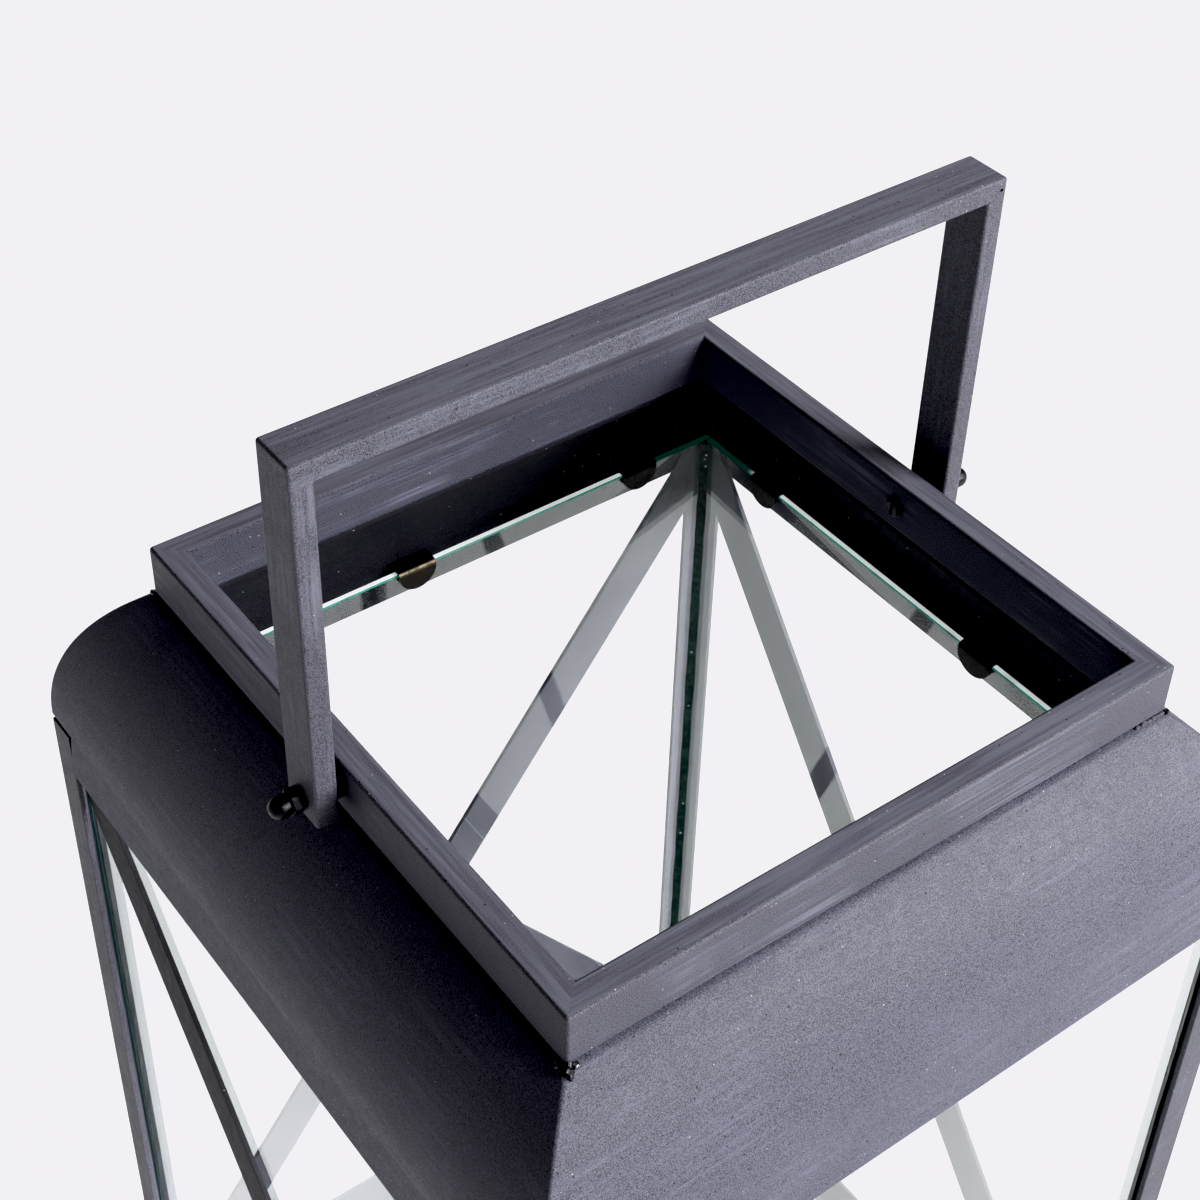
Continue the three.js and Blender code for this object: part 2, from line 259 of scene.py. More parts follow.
def blackened_steel(name, base, polished, roughness, bend=None, metal=0.9):
    """Dark steel worn paler in spots, or only round a bend at a given height, where the paler band is
    wear and a painted highlight on the bend.
    """
    n = Nodes(name)
    wear_and_sheen = n.ramp(n.noise(260, detail=4.0, roughness=0.65), 0.45, 0.72)
    if bend is not None:
        # Round the bend the paler band is worn metal and a painted highlight.
        away = n.math("ABSOLUTE", n.math("SUBTRACT", n.split(n.place)["Z"], bend))
        wear_and_sheen = n.math("MULTIPLY", n.ramp(away, 1.3 * MM, 0.2 * MM), n.math("ADD", wear_and_sheen, 0.4))
    n.feed(n.shader.inputs["Base Color"], n.mix(wear_and_sheen, base, polished))
    uneven = n.ramp(n.noise(600), 0.3, 0.7, roughness - 0.08, roughness + 0.1)
    n.feed(n.shader.inputs["Roughness"], uneven)
    n.shader.inputs["Metallic"].default_value = metal
    n.shader.inputs["Specular IOR Level"].default_value = 0.5 if metal > 0.5 else 0.12
    n.feed(n.shader.inputs["Normal"], n.bump(n.noise(900, detail=2.0), 0.00006, 0.5))
    return n.material


def clear_glass(name):
    """Float glass: clear across its thickness, green along its length."""
    n = Nodes(name)
    n.shader.inputs["Base Color"].default_value = (1, 1, 1, 1)
    n.shader.inputs["Transmission Weight"].default_value = 1.0
    n.shader.inputs["Roughness"].default_value = 0.0
    n.shader.inputs["IOR"].default_value = 1.52
    absorb = n.add("ShaderNodeVolumeAbsorption")
    absorb.inputs["Color"].default_value = (0.0, 0.8, 0.65, 1)
    absorb.inputs["Density"].default_value = 8.0
    output = n.tree.nodes["Material Output"]
    n.tree.links.new(absorb.outputs["Volume"], output.inputs["Volume"])
    return n.material


CORNER_SHADE_TEAL = (0.003, 0.032, 0.026, 1)


def glass_edge(name, tint, painted_glow, broken):
    """A frosted pane edge given a painted glow for the light carried along the pane: dull where it is
    chipped, with painted shade near the body's corners.
    """
    n = Nodes(name)
    dull = n.ramp(n.noise(140, detail=4.0, roughness=0.7), 0.5, 0.72, 0.0, broken)
    dark = tuple(c * 0.25 for c in tint[:3]) + (1.0,)
    colour = n.mix(dull, tint, dark)
    corner_shade = n.ramp(n.math("MINIMUM", *n.distances()), 0.110, 0.118)
    colour = n.mix(corner_shade, colour, CORNER_SHADE_TEAL)
    n.feed(n.shader.inputs["Base Color"], colour)
    # The edge colour is also emitted: painted light, the edge is no lamp.
    n.feed(n.shader.inputs["Emission Color"], colour)
    n.shader.inputs["Emission Strength"].default_value = painted_glow
    n.shader.inputs["Roughness"].default_value = 0.35
    n.feed(n.shader.inputs["Normal"], n.bump(n.noise(700, detail=3.0), 0.0001, 0.5))
    return n.material


def sealant(name):
    """Near-black silicone with cloudy patches, and a few pale specks painted on as glints."""
    n = Nodes(name)
    cloudy = n.ramp(n.noise(300, detail=4.0, roughness=0.7), 0.35, 0.65)
    colour = n.mix(cloudy, (0.001, 0.003, 0.003, 1), (0.010, 0.020, 0.017, 1))
    # Pale specks: painted glints.
    colour = n.mix(n.specks(420, 0.3, 0.08), colour, (0.3, 0.35, 0.33, 1))
    n.feed(n.shader.inputs["Base Color"], colour)
    n.shader.inputs["Specular IOR Level"].default_value = 0.2
    n.shader.inputs["Roughness"].default_value = 0.3
    n.shader.inputs["Transmission Weight"].default_value = 0.03
    n.shader.inputs["IOR"].default_value = 1.41
    n.feed(n.shader.inputs["Normal"], n.bump(n.noise(500, detail=3.0), 0.0002, 0.7))
    return n.material


def floor_paper(name):
    """Pale studio paper, lit from behind so that hardly a shadow shows on it."""
    n = Nodes(name)
    n.shader.inputs["Base Color"].default_value = (0.3, 0.3, 0.305, 1)
    n.shader.inputs["Roughness"].default_value = 0.9
    n.shader.inputs["Specular IOR Level"].default_value = 0.1
    n.shader.inputs["Emission Color"].default_value = (1.0, 0.99, 1.02, 1)
    n.shader.inputs["Emission Strength"].default_value = 0.95
    return n.material


PAINT_X = paint("paint_brushed_x", "x")
PAINT_Y = paint("paint_brushed_y", "y")
PAINT_Z = paint("paint_brushed_z", "z")
PAINT_SIDES = paint("paint_roof", "sides", base=0.053, scuff=0.35, lit_tops=0.0, blue=1.38)
PAINT_RIM = paint("paint_neck", "sides", scuff=0.8)
# Inside of the neck: a darker copy of the paint as painted shade, with heavier scuffs.
PAINT_SHADED_WALL = paint("paint_neck_inside_shaded", "sides", base=0.036, scuff=0.9, shine=0.04, blue=1.36)
# Under the roof: near-black paint as painted shade.
PAINT_UNDER_ROOF_SHADE = paint("paint_under_roof_shade", "sides", base=0.010, scuff=0.2, lit_tops=0.0, shine=0.02)
PAINT_BAIL = paint("paint_handle", "bail", scuff=0.7)
PAINT_BARS = paint("paint_unworn", "z", base=0.04, scuff=0.2, lit_tops=0.2)
PAINT_FLOOR = paint("paint_floor", "x", base=0.03, scuff=0.3, lit_tops=0.0, shine=0.08)
# Darker copy of the bar paint for the left face: painted shade on the side away from the key light.
PAINT_LEFT_BARS_SHADE = paint("paint_left_bars_shade", "z", base=0.012, scuff=0.2, lit_tops=0.2, shine=0.06)
# Near-black paint standing in for the shade deep in the gaps beside the posts.
GAP_SHADE = paint("paint_gap_shade", "z", base=0.002, scuff=0.0, lit_tops=0.0, shine=0.0)
FASTENER = blackened_steel("blackened_fastener", grey(0.006), grey(0.03, blue=1.0), 0.42)
WELD = blackened_steel("weld_scale", grey(0.012), (0.2, 0.2, 0.22, 1), 0.34)
CLIP = blackened_steel(
    "blackened_clip", (0.005, 0.004, 0.004, 1), (0.012, 0.010, 0.008, 1), 0.5, metal=0.1
)
WORN_CLIP_WITH_HIGHLIGHT = blackened_steel(
    "brassy_clip_bend_highlight", (0.010, 0.008, 0.006, 1), (0.10, 0.078, 0.05, 1), 0.4, bend=CLIP_TOP - 1.3 * MM
)
GLASS = clear_glass("float_glass")
CUT_EDGE = glass_edge("ground_glass_edge", (0.74, 0.8, 0.78, 1), 0.75, 0.35)
ARRIS = glass_edge("glass_arris", (0.012, 0.2, 0.16, 1), 0.55, 0.75)
BUTT_EDGE = glass_edge("glass_butt_edge", (0.002, 0.014, 0.011, 1), 0.15, 0.9)
SEALANT = sealant("corner_sealant")


# ---------- making pieces ----------

def turn(face):
    return Matrix.Rotation(math.radians(FACES[face]), 4, "Z")


def link_mesh(name, bm):
    """Turns a finished bmesh into an object in the scene."""
    mesh = bpy.data.meshes.new(name)
    bm.to_mesh(mesh)
    bm.free()
    obj = bpy.data.objects.new(name, mesh)
    bpy.context.scene.collection.objects.link(obj)
    return obj


def add_piece(name, bm, material, nodes, body="lantern"):
    """Adds a smooth-shaded piece that rides on a body and replaces CAD nodes."""
    bmesh.ops.recalc_face_normals(bm, faces=bm.faces[:])
    obj = link_mesh(name, bm)
    mesh = obj.data
    mesh.shade_smooth()
    mesh.set_sharp_from_angle(angle=math.radians(40))
    for one in material if isinstance(material, list) else [material]:
        mesh.materials.append(one)
    weighted = obj.modifiers.new("weighted_normals", "WEIGHTED_NORMAL")
    weighted.keep_sharp = True
    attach(obj, body)
    if nodes:
        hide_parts(*nodes)
    return obj


def from_node(node):
    """A bmesh of a CAD node with its triangles merged back into flat faces."""
    bm = bmesh.new()
    bm.from_mesh(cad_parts[node].data)
    bmesh.ops.remove_doubles(bm, verts=bm.verts[:], dist=1e-6)
    bmesh.ops.dissolve_limit(
        bm, angle_limit=math.radians(1), verts=bm.verts[:], edges=bm.edges[:]
    )
    return bm


def is_hard(edge, least=30):
    return len(edge.link_faces) == 2 and edge.calc_face_angle() > math.radians(least)


def soften(bm, width, segments=2, edges=None):
    """Rounds the given edges, or every hard one."""
    bmesh.ops.recalc_face_normals(bm, faces=bm.faces[:])
    chosen = edges if edges is not None else [e for e in bm.edges if is_hard(e)]
    bmesh.ops.bevel(
        bm, geom=chosen, offset=width, segments=segments, profile=0.5,
        affect="EDGES", clamp_overlap=True,
    )


def drill(obj, radius, start, end, sides=48):
    """Cuts a round hole between two points."""
    start, end = Vector(start), Vector(end)
    bm = bmesh.new()
    bmesh.ops.create_cone(
        bm, cap_ends=True, segments=sides, radius1=radius, radius2=radius, depth=(end - start).length,
        matrix=Matrix.Translation((start + end) / 2)
        @ (end - start).to_track_quat("Z", "Y").to_matrix().to_4x4(),
    )
    cutter = link_mesh("drill", bm)
    cut = obj.modifiers.new("hole", "BOOLEAN")
    cut.operation = "DIFFERENCE"
    cut.solver = "EXACT"
    cut.object = cutter
    bpy.context.view_layer.objects.active = obj
    bpy.ops.object.modifier_move_to_index(modifier="hole", index=0)
    bpy.ops.object.modifier_apply(modifier="hole")
    bpy.data.objects.remove(cutter)


def drill_for_bolt(obj, inner, outer):
    """The same bolt hole on the left and on the right."""
    for sign in (-1, 1):
        drill(
            obj, BOLT_HOLE,
            (sign * (inner - 5 * MM), 0, PIVOT.z), (sign * (outer + 5 * MM), 0, PIVOT.z),
        )


# ---------- body: floor, rails, posts, bars ----------

def make_corner_gap_shade():
    """Black blocks in the narrow gaps between a post and the skirt notched round it: painted shade
    filling the gap.
    """
    tight = 0.04 * MM  # clearance to the painted parts
    inner = BODY - 1.9 * MM
    recess = BODY - 0.6 * MM
    gap_start, gap_end = POST_END - tight, SKIRT_END + tight
    low, high = EAVE + 1 * MM, TANGENT - tight
    for corner, angle in CORNERS.items():
        bm = bmesh.new()
        spin = Matrix.Rotation(math.radians(angle), 4, "Z")

        def block(a, b, levels, swap):
            """A bar from a to b along the face, reaching a given outward distance at each height."""
            rows = []
            for z, outer in levels:
                spots = ((-a, -outer), (-b, -outer), (-b, -inner), (-a, -inner))
                rows.append([
                    bm.verts.new(spin @ Vector((y, x, z) if swap else (x, y, z))) for x, y in spots
                ])
            for k in range(4):
                bm.faces.new((rows[0][k], rows[0][(k + 1) % 4], rows[1][(k + 1) % 4], rows[1][k]))
            bm.faces.new(rows[0][::-1])
            bm.faces.new(rows[1])

        sides = [(low, BODY + 0.8 * MM), (high, BODY - 0.1 * MM)]
        top = [(POST_CUT + tight, recess), (high, recess)]
        for swap in (False, True):
            block(gap_start, gap_end, sides, swap)
        block(recess, gap_start + tight, top, False)
        block(inner - tight, gap_start + tight, top, True)
        add_piece(f"gap_shade_fill_{corner}", bm, GAP_SHADE, [])


def make_body():
    """Floor plate, base strips, posts whose ends in the notch are painted black as painted shade, and
    crossed bars.
    """
    bm = from_node("floor_plate")
    soften(bm, 0.3 * MM)
    add_piece("floor_plate_painted", bm, PAINT_FLOOR, ["floor_plate"])
    for face in FACES:
        material = PAINT_X if face in ("front", "back") else PAINT_Y
        bm = from_node(f"base_rail_{face}")
        soften(bm, 0.3 * MM)
        add_piece(f"base_strip_{face}", bm, material, [f"base_rail_{face}"])
    for corner in CORNERS:
        bm = from_node(f"corner_post_{corner}")
        for vert in bm.verts:
            vert.co.z = min(vert.co.z, POST_CUT)
        bmesh.ops.bisect_plane(
            bm, geom=bm.verts[:] + bm.edges[:] + bm.faces[:], plane_co=(0, 0, EAVE), plane_no=(0, 0, 1)
        )
        soften(bm, 0.4 * MM)
        # Flange ends and sawn ends above the eave take the black paint: painted shade in the notch.
        for face in bm.faces:
            spot = face.calc_center_median()
            flange_end = min(abs(abs(c) - POST_END) for c in spot.to_2d()) < 0.2 * MM
            top_end = spot.z > POST_CUT - 0.1 * MM
            face.material_index = int(spot.z > EAVE and (flange_end or top_end))
        bmesh.ops.translate(bm, verts=bm.verts[:], vec=POST_SHIFT.get(corner, (0, 0, 0)))
        add_piece(
            f"angle_post_{corner}", bm, [PAINT_Z, GAP_SHADE], [f"corner_post_{corner}"]
        )
    for face in ("right", "back", "left"):
        for part in ("long", "upper", "lower"):
            bm = from_node(f"brace_{face}_{part}")
            soften(bm, 0.25 * MM)
            # Left-face bars take the darker paint as painted shade.
            finish = PAINT_LEFT_BARS_SHADE if face == "left" else PAINT_BARS
            add_piece(f"bar_{face}_{part}", bm, finish, [f"brace_{face}_{part}"])


# ---------- roof ----------

SHOULDER_STEPS = 40


def shoulder_profile():
    """(outward, z) pairs on the outer and inner skin, from the tangent height to the lip's end."""
    rise = LIP_TOP - TANGENT
    inset = SKIRT - NECK_OUTER
    radius = (rise**2 + inset**2) / (2 * inset)
    centre = SKIRT - radius
    outer_end = math.asin(rise / radius)
    inner_end = math.asin((rise - SHEET) / (radius - SHEET))
    pairs = []
    for i in range(SHOULDER_STEPS + 1):
        share = i / SHOULDER_STEPS
        pair = []
        for r, end in ((radius, outer_end), (radius - SHEET, inner_end)):
            angle = end * share
            pair.append((centre + r * math.cos(angle), TANGENT + r * math.sin(angle)))
        pairs.append(pair)
    pairs.append([(LIP_END, LIP_TOP), (LIP_END, LIP_TOP - SHEET)])
    return pairs


def is_hip(edge):
    """True for the long edges where two curved panels meet, outside or inside."""
    a, b = (v.co for v in edge.verts)
    on_diagonal = all(abs(abs(p.x) - abs(p.y)) < 1e-6 for p in (a, b))
    return on_diagonal and abs(a.z - b.z) > 1e-6 and TANGENT < (a.z + b.z) / 2 and is_hard(edge)


def make_roof():
    """One welded hood: four curved panels meeting at rounded hips, with a skirt flap on each face."""
    bm = bmesh.new()
    signs = [(-1, -1), (1, -1), (1, 1), (-1, 1)]
    rings = []
    for pair in shoulder_profile():
        rings.append([[bm.verts.new((sx * u, sy * u, z)) for sx, sy in signs] for u, z in pair])

    # The notch above each post leaves extra points on the lowest ring.
    turns = [Matrix.Rotation(math.radians(90 * i), 4, "Z") for i in range(4)]
    flaps = []
    for i in range(4):
        skins = []
        for u in (SKIRT, SKIRT - SHEET):
            spots = [
                (-SKIRT_END, u, TANGENT), (SKIRT_END, u, TANGENT),
                (SKIRT_END, u + FLARE, EAVE), (-SKIRT_END, u + FLARE, EAVE),
            ]
            skins.append([bm.verts.new(turns[i] @ Vector((x, -out, z))) for x, out, z in spots])
        flaps.append(skins)

    for i in range(4):
        j = (i + 1) % 4
        for skin in (0, 1):
            lowest, above = rings[0][skin], rings[1][skin]
            left, right = flaps[i][skin][0], flaps[i][skin][1]
            bm.faces.new((lowest[i], left, right, lowest[j], above[j], above[i]))
            for low_ring, high_ring in zip(rings[1:], rings[2:]):
                low, high = low_ring[skin], high_ring[skin]
                bm.faces.new((low[i], low[j], high[j], high[i]))
        outer, inner = rings[-1]
        bm.faces.new((outer[i], outer[j], inner[j], inner[i]))
        (a, b, c, d), (e, f, g, h) = flaps[i]
        for corners in ((a, b, c, d), (e, f, g, h), (b, c, g, f), (c, d, h, g), (d, a, e, h)):
            bm.faces.new(corners)
        before = flaps[(i - 1) % 4]
        outer, inner = rings[0]
        bm.faces.new((outer[i], before[0][1], before[1][1], inner[i], e, a))
    bm.normal_update()

    soften(bm, 0.9 * MM, segments=3, edges=[e for e in bm.edges if is_hip(e)])
    bm.normal_update()
    soften(bm, 0.3 * MM, edges=[e for e in bm.edges if is_hard(e, 60)])
    bmesh.ops.recalc_face_normals(bm, faces=bm.faces[:])
    # Faces turned inward and undersides below the lip take the near-black paint: painted shade under
    # the roof.
    for face in bm.faces:
        spot = face.calc_center_median()
        outward = face.normal.x * spot.x + face.normal.y * spot.y
        underside = spot.z < LIP_TOP - SHEET / 2 and face.normal.z < -0.5
        face.material_index = int(outward < 0 or underside)
    add_piece(
        "roof_hood", bm, [PAINT_SIDES, PAINT_UNDER_ROOF_SHADE],
        [f"roof_panel_{face}" for face in FACES],
    )


# ---------- neck ----------

def make_neck():
    """Four square tubes welded and ground into one ring."""
    bm = bmesh.new()
    signs = [(-1, -1), (1, -1), (1, 1), (-1, 1)]
    rings = [
        [bm.verts.new((sx * u, sy * u, z)) for sx, sy in signs]
        for u, z in (
            (NECK_OUTER, NECK_BOTTOM), (NECK_OUTER, NECK_TOP),
            (NECK_INNER, NECK_TOP), (NECK_INNER, NECK_BOTTOM),
        )
    ]
    for low, high in zip(rings, rings[1:] + rings[:1]):
        for i in range(4):
            j = (i + 1) % 4
            bm.faces.new((low[i], low[j], high[j], high[i]))
    bm.normal_update()
    soften(bm, 1.3 * MM, segments=4)
    bmesh.ops.recalc_face_normals(bm, faces=bm.faces[:])
    # Faces looking inward take the darker inside paint: painted shade.
    for face in bm.faces:
        spot = face.calc_center_median()
        inward = -(face.normal.x * spot.x + face.normal.y * spot.y) / spot.to_2d().length
        face.material_index = int(inward > 0.6)
    neck = add_piece(
        "neck_ring", bm, [PAINT_RIM, PAINT_SHADED_WALL],
        [f"neck_tube_{face}" for face in FACES],
    )
    drill_for_bolt(neck, NECK_INNER, NECK_OUTER)


# ---------- glass ----------

def make_glass():
    """Panes with ground edges, and a bead of sealant down each inner corner."""
    for face in FACES:
        bm = from_node(f"glass_pane_{face}")
        bm.normal_update()
        soften(bm, 0.55 * MM, segments=1)
        bm.normal_update()
        outward = (turn(face) @ Vector((0, -1, 0))).normalized()
        for one in bm.faces:
            lean = abs(one.normal.dot(outward))
            upright = abs(one.normal.z) < 0.3
            one.material_index = 0 if lean > 0.95 else 3 if upright else 2 if lean > 0.3 else 1
        pane = add_piece(
            f"pane_{face}", bm, [GLASS, CUT_EDGE, ARRIS, BUTT_EDGE],
            [f"glass_pane_{face}"],
        )
        pane.visible_shadow = False
    for corner, angle in CORNERS.items():
        make_sealant(corner, math.radians(angle))


def make_sealant(corner, angle):
    """An uneven fillet in the corner between two panes."""
    bm = bmesh.new()
    spin = Matrix.Rotation(angle, 4, "Z")
    steps = 150
    base = -GLASS_INNER
    rings = []
    for i in range(steps + 1):
        z = GLASS_BOTTOM + (GLASS_TOP - 1.5 * MM - GLASS_BOTTOM) * i / steps
        seed = Vector((angle * 3.1, 7.3, z * 90))
        legs = [
            (2.7 + 0.6 * noise.noise(seed + Vector((5.0 * k, 0, 0)))) * MM for k in (0, 1)
        ]
        belly = 0.5 + 0.16 * noise.noise(seed * 2.3)
        corners = [
            (base, base), (base + legs[0], base),
            (base + legs[0] * belly, base + legs[1] * belly), (base, base + legs[1]),
        ]
        rings.append([bm.verts.new(spin @ Vector((x, y, z))) for x, y in corners])
    for low, high in zip(rings, rings[1:]):
        for k in range(4):
            bm.faces.new((low[k], low[(k + 1) % 4], high[(k + 1) % 4], high[k]))
    bm.faces.new(rings[0][::-1])
    bm.faces.new(rings[-1])
    bead = add_piece(f"sealant_{corner}", bm, SEALANT, [])
    bead.visible_shadow = False


# ---------- handle ----------

def make_handle():
    """Flat bar bent and welded into an open rectangle, with a bolt hole in each leg."""
    outline = [
        (-HANDLE_OUTER, HANDLE_FOOT), (-HANDLE_OUTER, HANDLE_TOP),
        (HANDLE_OUTER, HANDLE_TOP), (HANDLE_OUTER, HANDLE_FOOT),
        (HANDLE_INNER, HANDLE_FOOT), (HANDLE_INNER, HANDLE_TOP - HANDLE_BAR),
        (-HANDLE_INNER, HANDLE_TOP - HANDLE_BAR), (-HANDLE_INNER, HANDLE_FOOT),
    ]
    bm = bmesh.new()
    near = [bm.verts.new((x, -HANDLE_HALF_DEPTH, z)) for x, z in outline]
    far = [bm.verts.new((x, HANDLE_HALF_DEPTH, z)) for x, z in outline]
    count = len(outline)
    bm.faces.new(near)
    bm.faces.new(far)
    for i in range(count):
        j = (i + 1) % count
        bm.faces.new((near[i], near[j], far[j], far[i]))
    bm.normal_update()
    soften(bm, 1.2 * MM, segments=4)
    handle = add_piece(
        "handle_bail", bm, PAINT_BAIL,
        ["handle_top_bar", "handle_leg_left", "handle_leg_right"], body="handle",
    )
    drill_for_bolt(handle, HANDLE_INNER, HANDLE_OUTER)
    pinhole = Vector((HANDLE_OUTER - 2.4 * MM, -HANDLE_HALF_DEPTH, HANDLE_TOP - 4.1 * MM))
    drill(handle, 0.7 * MM, pinhole - Vector((0, 2 * MM, 0)), pinhole + Vector((0, 3 * MM, 0)), 20)


# ---------- weld marks ----------

def lump(bm, place, size, seed, rough=0.35, detail=3):
    """A small closed blob, uneven like a weld spot."""
    made = bmesh.ops.create_icosphere(bm, subdivisions=detail, radius=1.0)
    for vert in made["verts"]:
        swell = 1.0 + rough * noise.noise(vert.co * 1.7 + Vector((seed, 0, 0)))
        vert.co = Vector(place) + Vector([c * s * swell for c, s in zip(vert.co, size)])


def make_welds():
    """Left-over weld metal where the neck sits on the roof."""
    seam = NECK_BOTTOM - 0.4 * MM
    corner = NECK_OUTER + 0.2 * MM
    bm = bmesh.new()
    lump(bm, (-corner, -corner, seam - 0.8 * MM), (2.6 * MM, 2.6 * MM, 2.2 * MM), 3.0, rough=0.7)
    lump(bm, (-corner + 2.6 * MM, -corner - 0.6 * MM, seam), (1.5 * MM, 1.2 * MM, 1.0 * MM), 9.0)
    lump(bm, (-corner - 0.4 * MM, -corner + 2.8 * MM, seam), (1.2 * MM, 1.6 * MM, 0.9 * MM), 14.0)
    add_piece("weld_spot_front_left", bm, WELD, [])

    bm = bmesh.new()
    random.seed(SEED)
    for _ in range(9):
        along = NECK_OUTER - random.uniform(1, 22) * MM
        long = random.uniform(0.8, 2.2) * MM
        size = (long, 0.7 * MM, 0.6 * MM)
        lump(bm, (along, -corner + 0.2 * MM, seam), size, random.uniform(0, 50), detail=2)
    add_piece("weld_smear_front", bm, PAINT_RIM, [])

    bm = bmesh.new()
    for sx, sy, seed in ((1, -1, 21.0), (1, 1, 33.0), (-1, 1, 41.0)):
        lump(bm, (sx * corner, sy * corner, seam), (1.3 * MM, 1.3 * MM, 0.9 * MM), seed, detail=2)
    add_piece("weld_spots_neck", bm, WELD, [])


# ---------- pivots ----------

def make_pivots():
    """Slotted bolt from inside, spacer ring outside the neck, dome nut outside the leg."""
    for side, half_turn in (("right", 0), ("left", math.pi)):
        bm = from_node(f"pivot_bolt_{side}")
        soften(bm, 0.22 * MM, edges=[e for e in bm.edges if is_hard(e, 40)])
        add_piece(f"slotted_bolt_{side}", bm, FASTENER, [f"pivot_bolt_{side}"])

        bm = from_node(f"pivot_spacer_{side}")
        soften(bm, 0.4 * MM, edges=[e for e in bm.edges if is_hard(e, 60)])
        add_piece(f"spacer_ring_{side}", bm, FASTENER, [f"pivot_spacer_{side}"])

        bm = dome_nut()
        place = Matrix.Translation(PIVOT) @ Matrix.Rotation(half_turn, 4, "Z")
        bmesh.ops.transform(bm, verts=bm.verts[:], matrix=place)
        add_piece(f"dome_nut_{side}", bm, FASTENER, [f"pivot_dome_nut_{side}"])


def dome_nut():
    """A hexagon with rounded corners and a domed cap, drawn along +X from the leg's face."""
    flat = NUT_FLATS / 2
    corner = flat / math.cos(math.radians(30))
    hex_length = 4.5 * MM
    dome = flat * 0.94
    bm = bmesh.new()
    bmesh.ops.create_cone(
        bm, cap_ends=True, segments=6, radius1=corner, radius2=corner, depth=hex_length,
        matrix=Matrix.Translation((NUT_START + hex_length / 2, 0, 0))
        @ Matrix.Rotation(math.radians(90), 4, "Y"),
    )
    bm.normal_update()
    soften(bm, 0.5 * MM, segments=3)

    # Profile as (distance along the axis, radius): a small neck, the straight wall and the dome.
    start, straight = hex_length - 0.6 * MM, NUT_END - NUT_START - dome
    profile = [
        (start, dome), (hex_length, dome),
        (hex_length + 0.3 * MM, dome * 0.95), (hex_length + 0.6 * MM, dome),
    ]
    profile += [
        (straight + dome * math.sin(math.radians(a)), dome * math.cos(math.radians(a)))
        for a in range(0, 90, 6)
    ]
    lathe_x(bm, [(NUT_START + t, r) for t, r in profile], tip=NUT_END)
    return bm


def lathe_x(bm, profile, tip, sides=40):
    """A closed turned body about the X axis, from (x, radius) pairs and a pointed far end."""
    rings = []
    for x, radius in profile:
        rings.append([
            bm.verts.new((x, radius * math.cos(a), radius * math.sin(a)))
            for a in (2 * math.pi * i / sides for i in range(sides))
        ])
    for low, high in zip(rings, rings[1:]):
        for i in range(sides):
            j = (i + 1) % sides
            bm.faces.new((low[i], low[j], high[j], high[i]))
    bm.faces.new(rings[0][::-1])
    end = bm.verts.new((tip, 0, 0))
    for i in range(sides):
        bm.faces.new((rings[-1][i], rings[-1][(i + 1) % sides], end))


# ---------- glass clips ----------

def clip_path():
    """(outward, z, half width, normal) along the tab's outer skin, from its far end to its tip."""
    side = Vector((0, 1))
    stations = [(CLIP_REACH, CLIP_TOP, CLIP_HALF, side)]
    centre = Vector((CLIP_INNER + CLIP_BEND, CLIP_TOP - CLIP_BEND))
    for step in range(9):
        angle = math.radians(90 + 90 * step / 8)
        normal = Vector((math.cos(angle), math.sin(angle)))
        place = centre + normal * CLIP_BEND
        stations.append((place.x, place.y, CLIP_HALF, normal))
    for step in range(1, 13):
        angle = math.radians(90 * step / 12) * 0.985
        stations.append((
            CLIP_INNER, CLIP_BOTTOM + CLIP_HALF * (1 - math.sin(angle)), CLIP_HALF * math.cos(angle),
            Vector((-1, 0)),
        ))
    return stations


def make_clips():
    """Tabs bent over the glass edge, with a round end hanging down inside; one is worn to brass round
    its bend, which also paints the bend's highlight.
    """
    for face in FACES:
        for i in (1, 2, 3):
            node = f"glass_clip_{face}_{i}"
            low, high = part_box(node)
            middle = turn(face).inverted() @ ((low + high) / 2)
            bm = bmesh.new()
            rows = []
            for u, z, half, normal in clip_path():
                skin, back = Vector((0, 0)), normal * CLIP_SHEET
                section = ((-half, skin), (half, skin), (half, back), (-half, back))
                rows.append([
                    bm.verts.new(turn(face) @ Vector((middle.x + x, -(u - deep.x), z - deep.y)))
                    for x, deep in section
                ])
            for near, far in zip(rows, rows[1:]):
                for k in range(4):
                    bm.faces.new((near[k], near[(k + 1) % 4], far[(k + 1) % 4], far[k]))
            bm.faces.new(rows[0][::-1])
            bm.faces.new(rows[-1])
            bm.normal_update()
            soften(bm, 0.25 * MM, edges=[e for e in bm.edges if is_hard(e, 50)])
            finish = WORN_CLIP_WITH_HIGHLIGHT if node == "glass_clip_back_2" else CLIP
            add_piece(f"bent_tab_{face}_{i}", bm, finish, [node])


# ---------- studio ----------

CAMERA_PLACE = (-0.3405, -0.41622, 0.97242)
CAMERA_HEADING = 37.445  # degrees from +Y towards +X
CAMERA_DOWN = 38.925
CAMERA_ROLL = 1.571
FOCAL_LENGTH = 65.86
SENSOR = 36.0
CAMERA_SHIFT = -0.0833
LIGHT_AIM = Vector((0, 0, 0.4))
WHITE_POINT = (0.885, 0.872, 0.9)
BLACK_POINT = 0.01


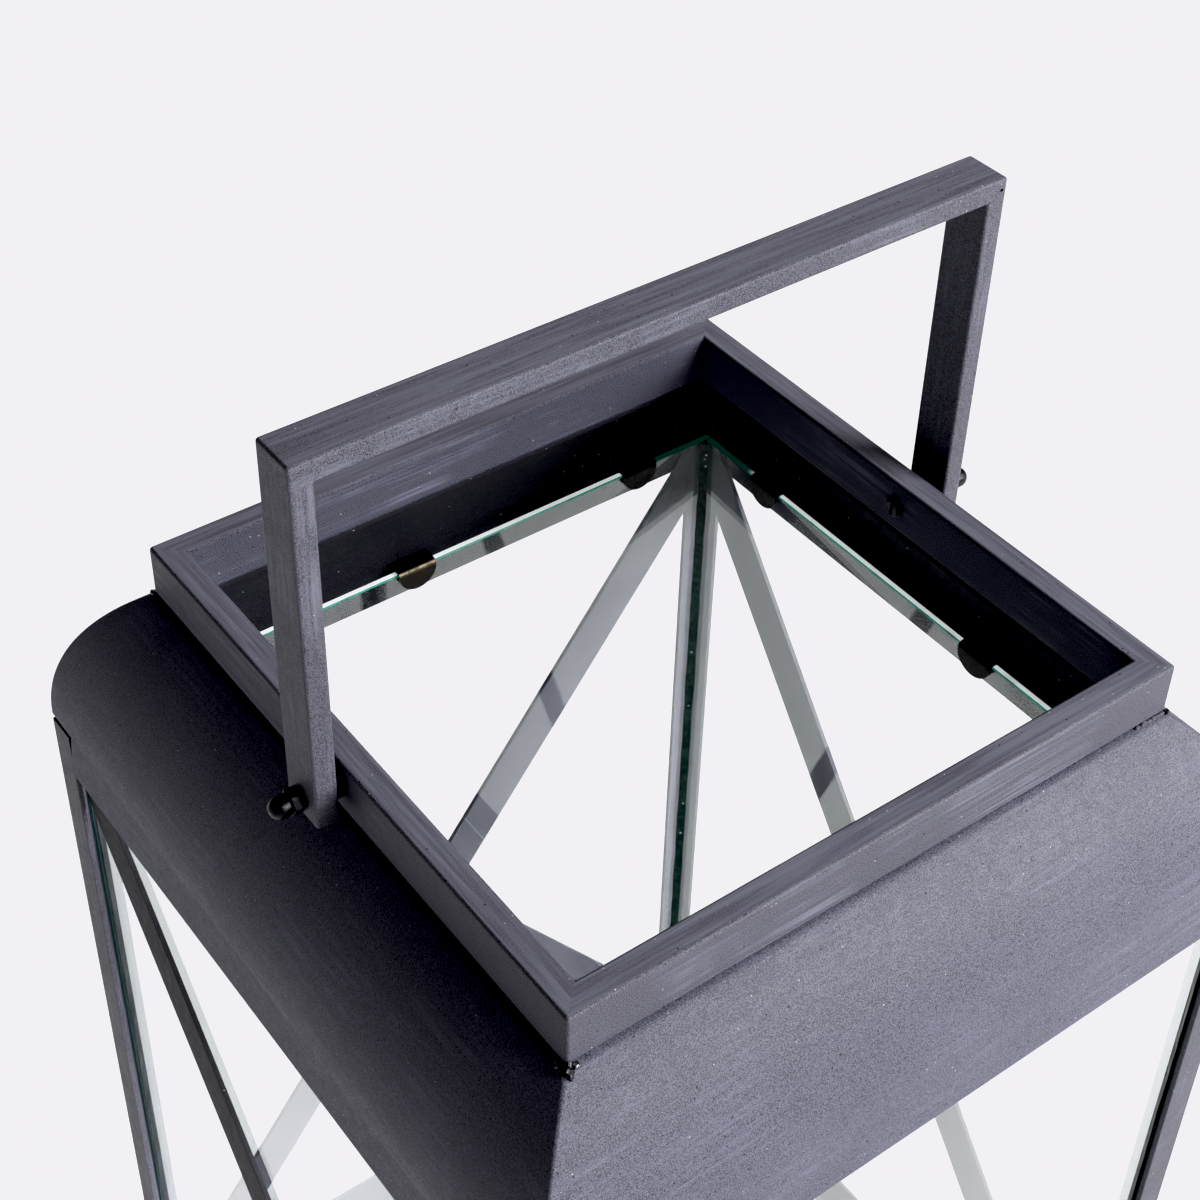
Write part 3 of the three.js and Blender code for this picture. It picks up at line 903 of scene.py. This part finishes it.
def make_camera():
    data = bpy.data.cameras.new("camera")
    data.lens = FOCAL_LENGTH
    data.sensor_width = SENSOR
    data.shift_y = CAMERA_SHIFT
    data.clip_start = 0.02
    data.clip_end = 50
    camera = bpy.data.objects.new("camera", data)
    bpy.context.scene.collection.objects.link(camera)
    camera.matrix_world = (
        Matrix.Translation(CAMERA_PLACE)
        @ Matrix.Rotation(math.radians(-CAMERA_HEADING), 4, "Z")
        @ Matrix.Rotation(math.radians(90 - CAMERA_DOWN), 4, "X")
        @ Matrix.Rotation(math.radians(CAMERA_ROLL), 4, "Z")
    )
    bpy.context.scene.camera = camera


def add_softbox(name, place, width, watts):
    """A square area light turned towards the lantern's upper body."""
    data = bpy.data.lights.new(name, "AREA")
    data.shape = "RECTANGLE"
    data.size = data.size_y = width
    data.energy = watts
    light = bpy.data.objects.new(name, data)
    bpy.context.scene.collection.objects.link(light)
    light.location = place
    light.rotation_euler = (LIGHT_AIM - Vector(place)).to_track_quat("-Z", "Y").to_euler()


def make_studio():
    """Pale floor, dim world and two softboxes."""
    bm = bmesh.new()
    bmesh.ops.create_grid(bm, x_segments=2, y_segments=2, size=12)
    floor = link_mesh("studio_floor", bm)
    floor.data.materials.append(floor_paper("studio_paper"))

    world = bpy.data.worlds.new("studio_world")
    world.use_nodes = True
    background = world.node_tree.nodes["Background"]
    background.inputs["Color"].default_value = (0.97, 0.98, 1.0, 1)
    background.inputs["Strength"].default_value = 0.03
    bpy.context.scene.world = world
    add_softbox("key", (1.25, -1.7, 1.35), 1.3, 170)
    add_softbox("rim", (1.3, 1.7, 2.1), 1.2, 9)
    set_print_curve()


def set_print_curve():
    """Prints the brightest tones as a pale paper white instead of pure white."""
    settings = bpy.context.scene.view_settings
    settings.view_transform = "Standard"
    settings.use_curve_mapping = True
    curves = settings.curve_mapping
    curves.extend = "HORIZONTAL"
    curves.black_level = [BLACK_POINT] * 3
    for curve, white in zip(curves.curves[:3], WHITE_POINT):
        curve.points[-1].location = (1.0, white)
        curve.points.new(0.6, 0.6)
    curves.update()


make_camera()
make_body()
make_corner_gap_shade()
make_roof()
make_neck()
make_glass()
make_handle()
make_welds()
make_pivots()
make_clips()
make_studio()
